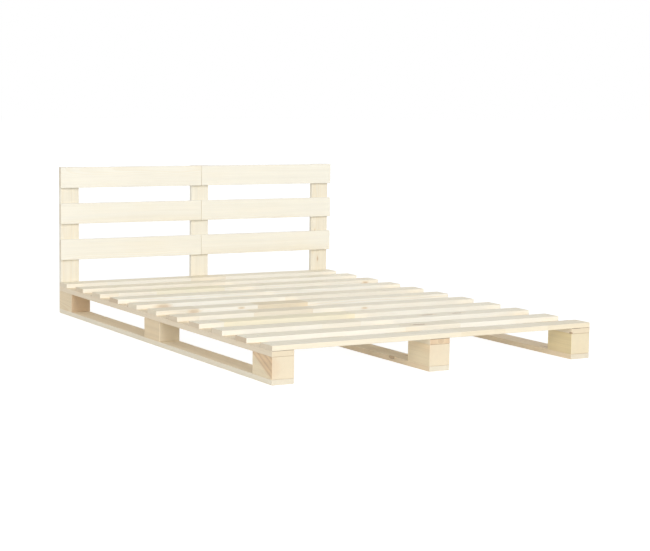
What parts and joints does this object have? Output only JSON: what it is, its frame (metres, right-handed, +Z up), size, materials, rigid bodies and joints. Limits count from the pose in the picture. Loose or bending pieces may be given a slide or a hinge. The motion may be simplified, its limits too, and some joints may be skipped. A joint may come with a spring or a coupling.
{
  "type": "pallet bed frame",
  "caption": "Low pallet-style softwood bed frame with a slatted deck on block-and-board runners and an open headboard of horizontal boards on rear posts.",
  "frame": {"origin": "on the floor, at the middle of the overall footprint with the headboard posts", "axes": "+Z up, +Y from the foot of the bed to the headboard, +X to the right as seen from the foot"},
  "size_m": [1.4, 2.059, 0.66],
  "materials": {
    "deck_pine": "planed, untreated",
    "runner_pine": "planed, untreated",
    "screw_steel": "zinc plated"
  },
  "bodies": {
    "root": {"block_foot_center": "runner_pine", "block_foot_left": "runner_pine", "block_foot_right": "runner_pine", "block_head_center": "runner_pine", "block_head_left": "runner_pine", "block_head_right": "runner_pine", "block_middle_center": "runner_pine", "block_middle_left": "runner_pine", "block_middle_right": "runner_pine", "bottom_board_center": "runner_pine", "bottom_board_left": "runner_pine", "bottom_board_right": "runner_pine", "bottom_board_screws": "screw_steel", "headboard_bottom_left": "deck_pine", "headboard_bottom_right": "deck_pine", "headboard_middle_left": "deck_pine", "headboard_middle_right": "deck_pine", "headboard_screws": "screw_steel", "headboard_top_left": "deck_pine", "headboard_top_right": "deck_pine", "post_center": "deck_pine", "post_left": "deck_pine", "post_right": "deck_pine", "post_screws": "screw_steel", "slat_01": "deck_pine", "slat_02": "deck_pine", "slat_03": "deck_pine", "slat_04": "deck_pine", "slat_05": "deck_pine", "slat_06": "deck_pine", "slat_07": "deck_pine", "slat_08": "deck_pine", "slat_09": "deck_pine", "slat_10": "deck_pine", "slat_11": "deck_pine", "slat_screws": "screw_steel", "stringer_center": "runner_pine", "stringer_left": "runner_pine", "stringer_right": "runner_pine", "stringer_screws": "screw_steel"}
  },
  "joints": []
}
